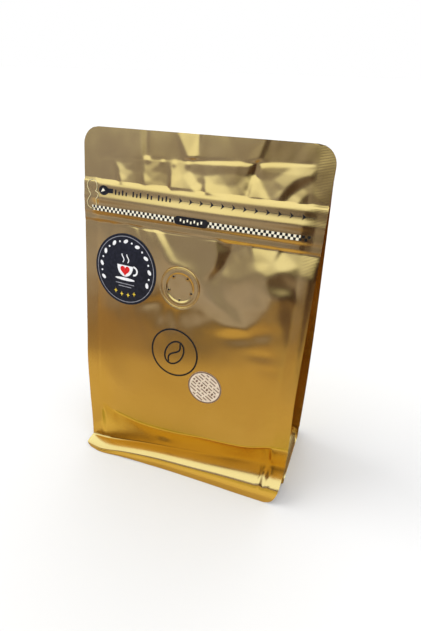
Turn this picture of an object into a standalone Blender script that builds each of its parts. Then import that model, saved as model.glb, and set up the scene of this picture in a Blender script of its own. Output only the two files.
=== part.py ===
"""A filled flat-bottomed coffee pouch with side gussets, its valve and its two round labels.

Metres, +Z up. The origin is on the floor, in the middle of the footprint. The front faces -Y and
leans back from its foot to the flat seal at the top. Lengths below are in millimetres.
"""
import math

import bmesh
import bpy
from mathutils import Vector

MM = 0.001

# The pouch, flat size 130 x 200 mm with a 70 mm gusset
WIDTH = 130.0               # across the side seals
FOOTPRINT = 66.0            # from the front lip of the bottom seal to the rear lip
PANEL_LENGTH = 197.8        # the front panel, measured up its own slope from the floor
LEAN = math.radians(12.0)   # the front panel leans back by this much
SIDE_SEAL = 8.0             # width of each vertical seal
SEAL_THICK = 1.2            # a seal stands for its plies of film
TOP_SEAL_FOOT = 183.0       # up the slope to where the two faces part
TOP_CORNER = 9.0            # radius of the upper corners
TOP_SEAL_THICK = 1.4
FRONT_FOOT = -FOOTPRINT / 2 + 1.0   # where the slope of the front panel meets the floor

# Below this crease the front film turns in towards the base
CREASE_HEIGHT = 31.0
VALLEY_HEIGHT = 8.0
VALLEY_RECESS = 7.0
BASE_RECESS = 9.5

# Rear face: distance behind FRONT_FOOT at each height
REAR_CURVE = ((0, 57.0), (15, 60.0), (45, 61.5), (80, 59.0), (110, 54.0), (140, 47.5), (165, 41.6))
REAR_SWELL = 2.0            # the middle of the rear face stands out by this much, halfway up
GUSSET_HALF = 29.0          # half the width of the film folded in at each side
LOFT_TOP_DEPTH = 1.6        # depth of the body where the top seal takes over

# The opening band across the front
BAND_LOW = 149.9
BAND_HIGH = 170.7
BAND_PROUD = 0.5
BAND_STEP = 0.7

# Bottom seal: the lip that flares out in front and behind
FLANGE_CORNER = 7.0
FLANGE_THICK = 1.2
# Its profile, from the root to the lip: distance out from the root, and height
FLANGE_PROFILE = ((0.0, 6.9), (2.6, 7.6), (5.4, 7.7), (7.9, 6.6), (9.6, 4.4), (10.6, 2.4), (10.9, 1.0))
FRONT_FLANGE_ROOT = 10.4    # behind FRONT_FOOT
REAR_FLANGE_SCALE = 0.72

# Round pieces: centre across and up the slope, and radius
VALVE = (-3.5, 122.0, 11.2)
DARK_LABEL = (-37.9, 125.5, 20.0)
PALE_LABEL = (15.0, 66.7, 10.0)
LABEL_THICK = 0.4
CLEARANCE = 0.3
ROUND_STEPS = 64

# Valve face: radius as a share of the valve's own, and height of the surface
VALVE_PROFILE = ((1.0, 0.45), (0.95, 1.0), (0.88, 1.15), (0.81, 0.85), (0.74, 0.75), (0.66, 0.95),
                 (0.6, 0.7), (0.35, 0.55), (0.12, 0.5))

COLUMNS = 16                # faces across the front and across the rear
GUSSET_STEPS = 6            # faces round each gusset


def clear_scene():
    for obj in list(bpy.data.objects):
        bpy.data.objects.remove(obj, do_unlink=True)


def material(name, colour, roughness, metallic):
    mat = bpy.data.materials.new(name)
    mat.use_nodes = True
    shader = mat.node_tree.nodes["Principled BSDF"]
    shader.inputs["Base Color"].default_value = (*colour, 1.0)
    shader.inputs["Roughness"].default_value = roughness
    shader.inputs["Metallic"].default_value = metallic
    return mat


def link(name, bm, mat=None):
    """Turn a bmesh that is in millimetres into an object in metres."""
    bmesh.ops.scale(bm, vec=(MM, MM, MM), verts=bm.verts)
    bmesh.ops.recalc_face_normals(bm, faces=bm.faces)
    mesh = bpy.data.meshes.new(name)
    bm.to_mesh(mesh)
    bm.free()
    obj = bpy.data.objects.new(name, mesh)
    bpy.context.scene.collection.objects.link(obj)
    if mat:
        mesh.materials.append(mat)
    return obj


def round_off(obj, degrees=35.0):
    obj.data.shade_smooth()
    obj.data.set_sharp_from_angle(angle=math.radians(degrees))


def slope(across, up, out=0.0):
    """A point on the front panel: across it, up its slope, and out from it."""
    return Vector((across,
                   FRONT_FOOT + up * math.sin(LEAN) - out * math.cos(LEAN),
                   up * math.cos(LEAN) + out * math.sin(LEAN)))


def curve_at(points, at):
    """Read a smooth curve through (position, value) pairs, with each slope set by its neighbours."""
    if at <= points[0][0]:
        return points[0][1]
    slopes = []
    for k in range(len(points)):
        before = points[max(k - 1, 0)]
        after = points[min(k + 1, len(points) - 1)]
        slopes.append((after[1] - before[1]) / (after[0] - before[0]))
    for k, ((a, low), (b, high)) in enumerate(zip(points, points[1:])):
        if at <= b:
            span = b - a
            t = (at - a) / span
            ends = low * (2 * t ** 3 - 3 * t ** 2 + 1) + high * (3 * t ** 2 - 2 * t ** 3)
            lean_in = slopes[k] * (t ** 3 - 2 * t ** 2 + t) + slopes[k + 1] * (t ** 3 - t ** 2)
            return ends + span * lean_in
    return points[-1][1]


def front_at(height):
    """The front face at a height: the slope, the raised band, and the turn-in above the base."""
    y = FRONT_FOOT + height * math.tan(LEAN)
    up = height / math.cos(LEAN)
    if BAND_LOW <= up <= BAND_HIGH:
        y -= BAND_PROUD
    if height < VALLEY_HEIGHT:
        y = FRONT_FOOT + BASE_RECESS - (BASE_RECESS - VALLEY_RECESS - 1.7) * height / VALLEY_HEIGHT
    elif height < CREASE_HEIGHT:
        t = (CREASE_HEIGHT - height) / (CREASE_HEIGHT - VALLEY_HEIGHT)
        y += VALLEY_RECESS * t ** 0.8
    return y


def rear_at(height, across=0.0):
    """The rear face, full in its lower half and drawn in to the top seal."""
    top = loft_top()
    curve = REAR_CURVE + ((top, top * math.tan(LEAN) + LOFT_TOP_DEPTH),)
    y = FRONT_FOOT + curve_at(curve, height)
    fullness = math.sin(math.pi * min(1.0, height / top)) * max(0.0, 1 - (2 * across / WIDTH) ** 2)
    return y + REAR_SWELL * fullness


def loft_top():
    return TOP_SEAL_FOOT * math.cos(LEAN)


def section(height):
    """One closed ring round the pouch, with the side seals and the folded gussets."""
    half = WIDTH / 2
    front = front_at(height)
    rear = rear_at(height, half)
    depth = rear - front
    thick = min(SEAL_THICK, 0.4 * depth)
    flare = max(0.0, 1 - height / VALLEY_HEIGHT)
    root = half - SIDE_SEAL + (SIDE_SEAL - 0.6) * flare
    slack = max(0.0, GUSSET_HALF ** 2 - (depth / 2) ** 2)
    folded = math.sqrt(slack) * (1 - flare)
    inner = front + thick
    outer = rear - thick
    ring = []
    for k in range(COLUMNS + 1):
        x = -root + 2 * root * k / COLUMNS
        ring.append((x, front))
    ring.append((half, front))
    ring.append((half, inner))
    for k in range(GUSSET_STEPS + 1):
        t = k / GUSSET_STEPS
        fold = 1 - abs(2 * t - 1)
        ring.append((root - folded * fold, inner + (outer - inner) * t))
    ring.append((half, outer))
    ring.append((half, rear))
    for k in range(COLUMNS + 1):
        x = root - 2 * root * k / COLUMNS
        ring.append((x, rear_at(height, x) if thick == SEAL_THICK else rear))
    ring.append((-half, rear))
    ring.append((-half, outer))
    for k in range(GUSSET_STEPS + 1):
        t = k / GUSSET_STEPS
        fold = 1 - abs(2 * t - 1)
        ring.append((-root + folded * fold, outer + (inner - outer) * t))
    ring.append((-half, inner))
    ring.append((-half, front))
    return [Vector((x, y, height)) for x, y in ring]


def ring_heights():
    """Even steps up the pouch, with extra rings at the valley, the crease and the band's edges."""
    heights = [0.0, 2.5, 5.0, VALLEY_HEIGHT, 10.0, 13.0, 17.0, 21.0, 25.0, 28.5, CREASE_HEIGHT]
    low = BAND_LOW * math.cos(LEAN)
    high = BAND_HIGH * math.cos(LEAN)
    steps = 16
    for k in range(1, steps):
        heights.append(CREASE_HEIGHT + (low - BAND_STEP - CREASE_HEIGHT) * k / steps)
    heights += [low - BAND_STEP, low, (low + high) / 2, high, high + BAND_STEP]
    top = loft_top()
    heights += [high + BAND_STEP + (top - high - BAND_STEP) * k / 3 for k in (1, 2, 3)]
    return heights


def make_body():
    bm = bmesh.new()
    rings = [[bm.verts.new(point) for point in section(height)] for height in ring_heights()]
    for lower, upper in zip(rings, rings[1:]):
        count = len(lower)
        for k in range(count):
            nxt = (k + 1) % count
            bm.faces.new((lower[k], lower[nxt], upper[nxt], upper[k]))
    bm.faces.new(list(reversed(rings[0])))
    bm.faces.new(rings[-1])
    return bm


def make_top_seal():
    """The flat seal along the top, with round upper corners."""
    half = WIDTH / 2 - 0.05
    low = TOP_SEAL_FOOT - 4.0
    steps = 8
    outline = [(-half, low), (half, low)]
    for side, start in ((1, 0.0), (-1, 90.0)):
        for k in range(steps + 1):
            angle = math.radians(start + 90.0 * k / steps)
            x = side * (half - TOP_CORNER) + TOP_CORNER * math.cos(angle)
            outline.append((x, PANEL_LENGTH - TOP_CORNER + TOP_CORNER * math.sin(angle)))
    bm = bmesh.new()
    inset = (LOFT_TOP_DEPTH * math.cos(LEAN) - TOP_SEAL_THICK) / 2
    front = [bm.verts.new(slope(x, up, -inset)) for x, up in outline]
    back = [bm.verts.new(slope(x, up, -inset - TOP_SEAL_THICK)) for x, up in outline]
    count = len(outline)
    for k in range(count):
        nxt = (k + 1) % count
        bm.faces.new((front[k], front[nxt], back[nxt], back[k]))
    bm.faces.new(front)
    bm.faces.new(list(reversed(back)))
    return bm


def make_flange(root_y, direction, scale):
    """A lip of sealed film along the foot, rounded at both ends; Solidify gives it its thickness."""
    half = WIDTH / 2 - 0.4
    reach = FLANGE_PROFILE[-1][0]
    bm = bmesh.new()
    rows = []
    for out, height in FLANGE_PROFILE:
        from_tip = FLANGE_CORNER - (reach - out)
        trim = 0.0
        if from_tip > 0:
            trim = FLANGE_CORNER - math.sqrt(FLANGE_CORNER ** 2 - from_tip ** 2)
        width = half - trim
        row = []
        for k in range(COLUMNS + 1):
            x = -width + 2 * width * k / COLUMNS
            row.append(bm.verts.new((x, root_y + direction * out * scale, height)))
        rows.append(row)
    for inner, outer in zip(rows, rows[1:]):
        for k in range(COLUMNS):
            bm.faces.new((inner[k], inner[k + 1], outer[k + 1], outer[k]))
    return bm


def join_to(target, other):
    """Join a helper shape to the target with a union, and keep the helper out of the model."""
    other.hide_render = True
    other.display_type = "WIRE"
    union = target.modifiers.new(other.name, "BOOLEAN")
    union.operation = "UNION"
    union.solver = "EXACT"
    union.object = other


def make_pouch(film):
    pouch = link("pouch", make_body(), film)
    top_seal = link("top_seal_shape", make_top_seal())
    front_root = FRONT_FOOT + FRONT_FLANGE_ROOT
    reach = FLANGE_PROFILE[-1][0]
    rear_root = reach - front_root - reach * REAR_FLANGE_SCALE
    front_flange = link("front_flange_shape", make_flange(front_root, -1, 1.0))
    rear_flange = link("rear_flange_shape", make_flange(rear_root, 1, REAR_FLANGE_SCALE))
    for flange in (front_flange, rear_flange):
        wall = flange.modifiers.new("thickness", "SOLIDIFY")
        wall.thickness = FLANGE_THICK * MM
        wall.offset = 0.0
    for shape in (top_seal, front_flange, rear_flange):
        join_to(pouch, shape)
    return pouch


def disc(name, spec, back, profile, mat):
    """A round piece lying on the front panel: its flat back, then its rim and face by rings."""
    across, up, radius = spec
    bm = bmesh.new()
    rings = []
    for share, out in ((1.0, back),) + profile:
        ring = []
        for k in range(ROUND_STEPS):
            angle = 2 * math.pi * k / ROUND_STEPS
            x = across + radius * share * math.cos(angle)
            y = up + radius * share * math.sin(angle)
            ring.append(bm.verts.new(slope(x, y, out)))
        rings.append(ring)
    for lower, upper in zip(rings, rings[1:]):
        for k in range(ROUND_STEPS):
            nxt = (k + 1) % ROUND_STEPS
            bm.faces.new((lower[k], lower[nxt], upper[nxt], upper[k]))
    bm.faces.new(list(reversed(rings[0])))
    bm.faces.new(rings[-1])
    obj = link(name, bm, mat)
    round_off(obj)
    return obj


def main():
    clear_scene()
    film = material("gold_film", (0.52, 0.34, 0.09), 0.34, 1.0)
    valve_film = material("valve_film", (0.50, 0.36, 0.13), 0.36, 1.0)
    black = material("black_label", (0.015, 0.014, 0.014), 0.32, 0.0)
    cream = material("cream_label", (0.72, 0.58, 0.44), 0.6, 0.0)
    pouch = make_pouch(film)
    round_off(pouch, 30.0)
    valve_face = tuple((share, CLEARANCE + out) for share, out in VALVE_PROFILE)
    disc("valve", VALVE, CLEARANCE, valve_face, valve_film)
    label_face = ((1.0, CLEARANCE + LABEL_THICK),)
    disc("dark_label", DARK_LABEL, CLEARANCE, label_face, black)
    disc("pale_label", PALE_LABEL, CLEARANCE, label_face, cream)


main()
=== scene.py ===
"""A filled coffee pouch in satin gold film: flat bottom, side gussets, tear band, valve and labels.

Each panel is a sheet of film of its own, sealed to its neighbours along the edges. Lengths are in
millimetres until a mesh is placed. Across runs from left to right over the front panel, up runs from
the floor up its slope, and out stands off it.
"""

import math

import bpy
import numpy as np
from mathutils import Matrix, Vector
from mathutils.geometry import delaunay_2d_cdt


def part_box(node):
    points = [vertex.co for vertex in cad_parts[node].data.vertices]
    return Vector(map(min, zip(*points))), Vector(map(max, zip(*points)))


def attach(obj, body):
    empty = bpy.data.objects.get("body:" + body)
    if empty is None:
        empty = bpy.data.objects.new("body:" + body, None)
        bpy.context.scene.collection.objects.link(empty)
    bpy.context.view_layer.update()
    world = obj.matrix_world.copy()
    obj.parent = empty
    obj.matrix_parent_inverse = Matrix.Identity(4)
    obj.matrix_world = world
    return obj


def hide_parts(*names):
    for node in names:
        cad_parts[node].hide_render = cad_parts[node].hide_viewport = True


MM = 0.001

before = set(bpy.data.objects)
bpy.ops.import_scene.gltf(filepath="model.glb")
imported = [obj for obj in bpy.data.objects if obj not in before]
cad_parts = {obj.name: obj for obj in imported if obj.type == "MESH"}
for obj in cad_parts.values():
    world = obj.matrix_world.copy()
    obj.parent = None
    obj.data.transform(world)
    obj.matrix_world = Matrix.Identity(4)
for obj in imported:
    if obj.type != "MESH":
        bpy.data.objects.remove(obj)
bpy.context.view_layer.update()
bpy.ops.object.select_all(action="DESELECT")
bpy.context.tool_settings.mesh_select_mode = (False, False, True)

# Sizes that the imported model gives
pouch_low, pouch_high = (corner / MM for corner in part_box("pouch"))
WIDTH = pouch_high.x - pouch_low.x
HALF = WIDTH / 2
HEIGHT = pouch_high.z

# The front panel's slope, and where it would meet the floor
LEAN = math.radians(12.0)
SIN = math.sin(LEAN)
COS = math.cos(LEAN)
FOOT = pouch_low.y + 1.1
TOP = HEIGHT / COS

# Film and seals
FILM = 0.16
LABEL_STOCK = 0.12
SEAL = 8.0                  # width of each side seal
ROOT = HALF - SEAL
TOP_CORNER = 9.0
GUSSET_HALF = 29.0          # how deep each side can fold in
GUSSET_TOP = 187.0          # how far up the panel the folded sides reach
BAND_LOW = 149.9            # lower and upper edge of the opening band
BAND_TOP = 171.2

# Round pieces: centre across, centre up, radius
VALVE = (-3.5, 122.0, 11.2)
DARK_LABEL = (-37.9, 125.5, 20.0)
PALE_LABEL = (15.0, 66.7, 10.0)


# ---------------------------------------------------------------- shaping the film

def unit(x):
    return np.clip(x, 0, 1)


def smooth(x):
    x = unit(x)
    return x * x * (3 - 2 * x)


def turned(degrees):
    """Cosine and sine of an angle in degrees."""
    return math.cos(math.radians(degrees)), math.sin(math.radians(degrees))


def curve(points, at):
    """Read a smooth curve through given (position, value) pairs."""
    xs = [p[0] for p in points]
    ys = [p[1] for p in points]
    slopes = np.gradient(np.array(ys, float), np.array(xs, float))
    at = np.clip(at, xs[0], xs[-1])
    k = np.clip(np.searchsorted(xs, at, side="right") - 1, 0, len(xs) - 2)
    x0, x1 = np.take(xs, k), np.take(xs, k + 1)
    y0, y1 = np.take(ys, k), np.take(ys, k + 1)
    span = x1 - x0
    t = (at - x0) / span
    ends = y0 * (2 * t ** 3 - 3 * t ** 2 + 1) + y1 * (3 * t ** 2 - 2 * t ** 3)
    bend = slopes[k] * (t ** 3 - 2 * t ** 2 + t) + slopes[k + 1] * (t ** 3 - t ** 2)
    return ends + span * bend


def ripple(across, up, size, seed):
    """Gentle uneven waves of about the given size, between -1 and 1."""
    total = np.zeros_like(across, dtype=float)
    for k in range(5):
        angle = seed * 1.7 + k * 2.4
        length = size * (0.75 + 0.22 * k)
        phase = seed * 3.1 + k * k * 1.3
        way = across * math.cos(angle) + up * math.sin(angle)
        bent = way + 0.25 * size * np.sin((across - up) / (1.9 * size) + phase)
        total = total + np.sin(2 * math.pi * bent / length + phase)
    return total / 3.2


def level(up, *points):
    """A fold that runs across at one height, from pairs of across and how far out."""
    return tuple((across, up, out) for across, out in points)


# Folds in the front film, each a line of points (across, up, how far out). The film is flat between
# neighbouring folds.
FOLDS = (
    # Outline of the panel
    ((-65, -2, 0), (-65, 60, 0), (-65, 110, 0), (-65, 149.5, 0), (-65, 171.5, 0), (-65, 182.2, 0),
     (-65, 205, 0)),
    ((65, -2, 0), (65, 38, 0), (65, 60, 0.6), (65, 100, 1.6), (65, 125, 1.7), (65, 138, 1.7),
     (65, 149.5, 0), (65, 171.5, 0), (65, 189.8, 0), (65, 205, 0)),
    level(-2, (-65, 0), (65, 0)),
    level(205, (-65, 0), (65, 0)),
    # Inner edges of the side seals
    ((-57.5, 0, 0), (-57.5, 60, 0), (-57.5, 110, 0.1), (-57.5, 149.5, 0.1)),
    ((57.5, 0, 0), (57.5, 38, 0), (57.5, 60, 0.7), (57.5, 100, 1.8), (57.5, 125, 1.9), (57.5, 138.5, 1.9),
     (57.5, 149.5, 0)),
    # Along the lower edge of the band
    level(149.5, (-57.5, 0.1), (-48.5, 0.3), (-46.8, 0), (-44, 0.4), (-32.8, 0.35), (-30.6, 0),
     (-27.5, 0.45), (-22.5, 0.5), (-20.3, 0.75), (-15.8, 0.35), (4, 0.45), (13.6, 0.5), (22.5, -0.85),
     (29.5, -0.6), (31.5, 0), (33.5, -0.5), (44.2, -0.4), (45.5, 0.1), (47, -0.5), (57.5, -0.1)),
    # The fold that runs from the band down to the valve
    ((-20.3, 149.5, 0.75), (-15.2, 142, 1.75), (-11.4, 134.8, 2.2)),
    ((-15.8, 149.5, 0.35), (-10.6, 142.5, 0.55), (-6.8, 136.5, 1.0)),
    ((-22.5, 149.5, 0.5), (-18.4, 141, 1.5), (-14.6, 133.2, 1.85)),
    # The groove that bends down from the band to the right of the valve
    ((13.6, 149.5, 0.5), (15.2, 143, 0.85), (14.4, 136.5, 1.15), (10.5, 131, 1.45), (7.6, 128.6, 1.4)),
    ((22.5, 149.5, -0.85), (22.4, 145, -0.95), (20.4, 139.5, -0.6), (16.6, 133, 0.2), (11.8, 127.8, 1.05)),
    # The swelling under the band at the right, and the film below it
    ((31.5, 149.5, 0), (34.2, 142, 0.8), (37, 137.5, 1.9), (41.5, 134.6, 2.4), (48.5, 139.3, 1.8),
     (56, 143, 1.1)),
    ((45.5, 149.5, 0.1), (43.8, 142.4, 1.05)),
    ((29.5, 149.5, -0.6), (29.5, 140, 0.55), (27.5, 131, 1.5)),
    ((25.4, 140, 0.2), (23, 131, 1.25)),
    ((41.5, 132.8, 2.3), (44.5, 134.3, 2.05), (49.5, 136, 1.7), (56.5, 137, 1.75)),
    ((44.5, 131.5, 2.2), (50, 132.3, 1.75), (55, 132.5, 1.7)),
    ((45, 127, 2.85), (50, 126.5, 2.8), (54.5, 128, 2.4)),
    ((44, 120, 2.85), (50, 120, 2.7), (56, 122, 1.9)),
    # A shallow fold that runs down to the right from the valve
    ((9, 120.5, 1.9), (18, 116.5, 2.3), (27, 111.5, 2.5)),
    ((12, 124.5, 1.3), (21, 121, 1.5), (30, 116.5, 1.95)),
    ((36, 128, 2.0), (36, 119, 2.65)),
    ((6, 112, 1.75), (16, 109, 2.35), (27, 106.5, 2.8), (36, 106, 2.85)),
    # The rest of the lower front
    ((4, 140, 0.75), (5, 134, 1.0)),
    ((-3, 141, 0.7),),
    ((-25, 136, 1.3), (-25, 115, 1.2)),
    ((-38, 125, 0.8),),
    ((-50, 140, 0.35), (-50, 125, 0.4), (-50, 100, 0.4)),
    ((-15, 110, 1.3), (-3.5, 108, 1.5), (8, 111, 1.7)),
    level(100, (-50, 0.4), (-38, 0.7), (-25, 1.0), (-12, 1.35), (4, 1.6), (18, 1.9), (30, 2.2), (38, 2.4),
     (44, 2.4), (50, 2.3)),
    level(75, (-50, 0.35), (-38, 0.6), (-25, 0.85), (-12, 1.1), (4, 1.2), (18, 1.3), (30, 1.5), (38, 1.6),
     (50, 1.5)),
    level(50, (-50, 0.15), (-25, 0.3), (4, 0.35), (30, 0.5), (50, 0.5)),
    level(30, (-50, 0), (50, 0)),
    # Along the upper edge of the band
    level(171.5, (-57.5, 0.1), (-48, 0.25), (-44.6, 0.3), (-42, 1.4), (-38, 0.8), (-33, 0.2), (-31, 0.2),
     (-28, 1.35), (-23.5, 0.95), (-17.5, 0.4), (-14.9, 0.1), (-13.2, 1.7), (-6, 1.4), (1, 1.3), (3.6, 0.35),
     (6.2, 1.55), (14, 1.2), (20, 0.8), (23.4, 0.6), (26.4, 0.5), (28, 1.3), (34.5, 1.1), (38.5, 0.7),
     (42.3, 0.9), (44.6, 0.5), (51, 0.8), (57.5, 0)),
    # The seal line, and the film just under it
    ((-57.5, 182.7, 0), (-46.6, 183.2, 0), (-38, 183.7, 0), (-29, 184.2, 0), (-21.5, 184.7, 0),
     (-14.5, 185, 0), (-8, 185.4, 0), (-3, 185.8, 0), (5.5, 186.2, 0), (14, 186.7, 0), (22, 187.2, 0),
     (29.6, 187.6, -0.2), (36, 188, 0), (44, 188.5, 0), (52, 189, 0), (57.5, 189.3, 0)),
    ((-57.5, 181.5, 0), (-50, 181.6, 0), (-46.6, 182, 0), (-43, 181.8, 0), (-34, 182.2, 0),
     (-29.2, 183.2, 0), (-25, 183.2, 0.05), (-19, 183.6, 0.05), (-14.6, 184, 0), (-11, 183.8, 0.05),
     (-6, 184.3, 0.15), (2, 184.8, 0.3), (12, 185.2, 0.38), (20, 185.4, 0.36), (26.5, 185.4, 0.1),
     (29.4, 185.4, -0.5), (31.5, 185.6, 0.2), (38, 186.5, 0.2), (46, 187, 0.2), (53, 187.4, 0.12),
     (57.5, 187.8, 0)),
    # Four folds that fan down from the seal line at the left
    ((-46.6, 182, 0), (-45.6, 177, 0.05), (-44.6, 171.5, 0.3)),
    ((-46.6, 182, 0), (-43.4, 177, 0.65), (-42.5, 173.5, 1.15), (-42, 171.5, 1.4)),
    ((-40, 179, 0.2), (-38.5, 174.5, 0.6), (-38, 171.5, 0.8)),
    ((-35, 178, 0.0), (-33, 171.5, 0.2)),
    ((-29.2, 183.2, 0), (-31, 178, -0.05), (-31, 171.5, 0.2)),
    ((-29.2, 183.2, 0), (-28.4, 178, 0.55), (-28.2, 173.5, 1.2), (-28, 171.5, 1.35)),
    ((-24.5, 179, 0.4), (-24, 174.5, 0.75), (-23.5, 171.5, 0.95)),
    ((-19, 179, 0.05), (-18, 174.5, 0.2), (-17.5, 171.5, 0.4)),
    ((-14.6, 184, 0), (-14.9, 178, -0.15), (-14.9, 171.5, 0.1)),
    ((-14.6, 184, 0), (-13.6, 178, 0.75), (-13.2, 171.5, 1.7)),
    ((-11, 183.8, 0.05), (-7, 178.4, 0.7), (-2.2, 174, 1.15), (1, 171.5, 1.3)),
    ((-3, 180.5, 0.25), (0, 177, 0.4)),
    ((3.4, 179.6, 0.15), (3.2, 175, 0.15), (3.6, 171.5, 0.35)),
    ((5.4, 179.6, 0.35), (5.4, 176.5, 0.75), (6.2, 171.5, 1.55)),
    ((5.4, 179.6, 0.35), (9.6, 176, 0.75), (14, 171.5, 1.2)),
    # The pinch in the seal line, with the cone of film under it
    ((12, 181, 0.3), (16, 176, 0.5)),
    ((20, 182, 0.2), (21, 176.5, 0.35)),
    ((25, 181.5, -0.1), (26.8, 183, -0.4)),
    ((29.6, 187.6, -0.2), (29.4, 185.4, -0.5), (28.9, 182.2, -0.9)),
    ((31.5, 185.6, 0.25), (30.8, 182.6, 0), (32, 180.5, 0.1), (35, 176, 0.3), (38.5, 171.5, 0.7)),
    ((28.9, 182.2, -0.9), (29.2, 179, 0.25), (28.5, 175, 0.85), (28, 171.5, 1.3)),
    ((27.9, 179, -0.4), (27.2, 175, 0), (26.4, 171.5, 0.5)),
    ((25.5, 178.5, 0.1), (24.3, 175, 0.4), (23.4, 171.5, 0.6)),
    ((32, 176, 0.65), (34.5, 171.5, 1.1)),
    ((38, 181, 0.2), (41, 177, 0.5)),
    # A hollow in the right of the shoulder
    ((42.3, 173.6, 0.95), (44.5, 177.5, 0.8), (48.5, 181.5, 0.6), (55, 184.2, 0.3)),
    ((44.6, 171.5, 0.5), (47.5, 175.5, 0.15), (51.5, 179, 0.05), (56.5, 182.3, 0)),
    ((52.5, 174, 0.5), (55.5, 177, 0.2)),
    # Creases of the top seal, from its foot to its edge
    ((-30.5, 185.4, 0.1), (-31.5, 199, 0.1)),
    ((-27.8, 185.6, -0.35), (-28.2, 199, -0.45)),
    ((-25.8, 185.6, 0.05), (-26.2, 199, 0.05)),
    ((-18, 186, 0.15), (-12.2, 199, 0.05)),
    ((-5, 186.9, 0.7), (-12.2, 199, 0.05)),
    ((-1.2, 187, 0.9), (0.2, 199, -0.5)),
    ((0.6, 187.2, 0.45), (1.6, 199, 0.45)),
    ((5, 187.5, 0.2), (6, 199, 0.2)),
    ((14, 187.9, 0.1), (14, 199, 0.1)),
    ((30.2, 188.8, 0.45), (33.2, 199, 0.55)),
    ((31.8, 188.9, 0.15), (35, 199, 0.2)),
    ((52, 190, 0.1), (52, 199, 0.1)),
)
# Dents and small kinks: centre, angle, half length and half width, height
DENTS = (
    ((-20.5, 110.0), 28.0, (6.5, 1.9), -0.40),
    ((-13.5, 104.0), 66.0, (6.0, 1.6), -0.40),
    ((-6.0, 102.5), 82.0, (6.5, 1.8), -0.35),
    ((45.0, 93.5), 5.0, (7.0, 2.2), -0.30),
    ((49.0, 85.5), 5.0, (6.0, 2.2), -0.28),
    ((-42.0, 52.0), -38.0, (16.0, 7.0), 0.25),
    ((38.0, 50.0), 28.0, (20.0, 8.0), -0.3),
    ((37.0, 104.0), 18.0, (14.0, 4.0), -0.45),
    ((-26.6, 183.9), 0.0, (1.2, 1.2), 0.35),
    ((-18.5, 183.6), 0.0, (1.0, 1.2), 0.30),
    ((-12.0, 183.4), 0.0, (0.9, 1.2), 0.30),
    ((-4.7, 183.6), 0.0, (1.0, 1.5), 0.35),
    ((30.0, 184.8), 80.0, (3.4, 0.8), -0.60),
)


def folded(across, up):
    """Height of the film over the whole grid: each triangle between folds is flat."""
    places = []
    stands = []
    edges = []
    for fold in FOLDS:
        for k, (x, y, out) in enumerate(fold):
            if k > 0:
                edges.append((len(places) - 1, len(places)))
            places.append(Vector((x, y)))
            stands.append(out)
    corners, _, triangles, origin, _, _ = delaunay_2d_cdt(places, edges, [], 0, 0.001)
    total = np.zeros_like(across)
    for triangle in triangles:
        a, b, c = (corners[k] for k in triangle)
        ha, hb, hc = (stands[origin[k][0]] if origin[k] else 0.0 for k in triangle)
        turn = (b.y - c.y) * (a.x - c.x) + (c.x - b.x) * (a.y - c.y)
        wa = ((b.y - c.y) * (across - c.x) + (c.x - b.x) * (up - c.y)) / turn
        wb = ((c.y - a.y) * (across - c.x) + (a.x - c.x) * (up - c.y)) / turn
        wc = 1 - wa - wb
        within = (wa > -1e-6) & (wb > -1e-6) & (wc > -1e-6)
        total[within] = (ha * wa + hb * wb + hc * wc)[within]
    return total


def dent_height(across, up, dent):
    """A soft round-edged dent or swelling."""
    (x, y), angle, (long, wide), height = dent
    c, s = turned(angle)
    along = (across - x) * c + (up - y) * s
    beside = (up - y) * c - (across - x) * s
    return height * np.exp(-(along / long) ** 2 - (beside / wide) ** 2)


def seal_line(across):
    """Where the top seal starts: a little higher at the right."""
    return 182.2 + 0.058 * (across + HALF)


STEP = 0.5                  # spacing of the folded film's grid
CRISP = 0.45                # how far creases are rounded: above, down the filled part, and near the base
SOFT = 1.2
LOOSE = 4.0


def rounded(grid, stiffness):
    """Round the creases of a folded film, the more the stiffer it is."""
    reach = int(4 * stiffness / STEP)
    weights = np.exp(-0.5 * (np.arange(-reach, reach + 1) * STEP / stiffness) ** 2)
    weights = weights / weights.sum()
    for axis in (0, 1):
        wide = np.pad(grid, [(reach, reach) if axis == a else (0, 0) for a in (0, 1)], mode="edge")
        total = 0.0
        for k, weight in enumerate(weights):
            total = total + weight * np.take(wide, range(k, k + grid.shape[axis]), axis=axis)
        grid = total
    return grid


def crease_map():
    """All the folds and dents of the front film: crisp above, softer down the filled part."""
    across, up = np.meshgrid(np.arange(-HALF, HALF + STEP, STEP), np.arange(0, TOP + 4, STEP), indexing="ij")
    sharp = folded(across, up)
    for dent in DENTS:
        sharp = sharp + dent_height(across, up, dent)
    crisp, soft, loose = (rounded(sharp, stiffness) for stiffness in (CRISP, SOFT, LOOSE))
    crisp = soft + (crisp - soft) * smooth((up - 136) / 16)
    return loose + (crisp - loose) * smooth((up - 78) / 24)


CREASES = crease_map()


def creased(across, up):
    """Read the rounded creases at any place."""
    x = np.clip((across + HALF) / STEP, 0, CREASES.shape[0] - 1.001)
    y = np.clip(up / STEP, 0, CREASES.shape[1] - 1.001)
    i, j = x.astype(int), y.astype(int)
    x, y = x - i, y - j
    near = CREASES[i, j] * (1 - y) + CREASES[i, j + 1] * y
    far = CREASES[i + 1, j] * (1 - y) + CREASES[i + 1, j + 1] * y
    return near * (1 - x) + far * x


# The opening band, from its lower edge to its upper one: place up the panel, and how proud it is
BAND_PROFILE = (
    (149.5, 0.0), (149.9, 0.02), (150.5, 0.42), (151.0, 0.50), (153.4, 0.58), (153.9, 0.66), (155.0, 1.06),
    (155.4, 1.12), (158.6, 1.16), (159.2, 1.20), (161.8, 1.62), (162.4, 1.68), (163.0, 1.62), (165.6, 1.27),
    (166.4, 1.22), (169.6, 1.20), (170.6, 1.02), (171.2, 0.75), (171.5, 0.0),
)


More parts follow.
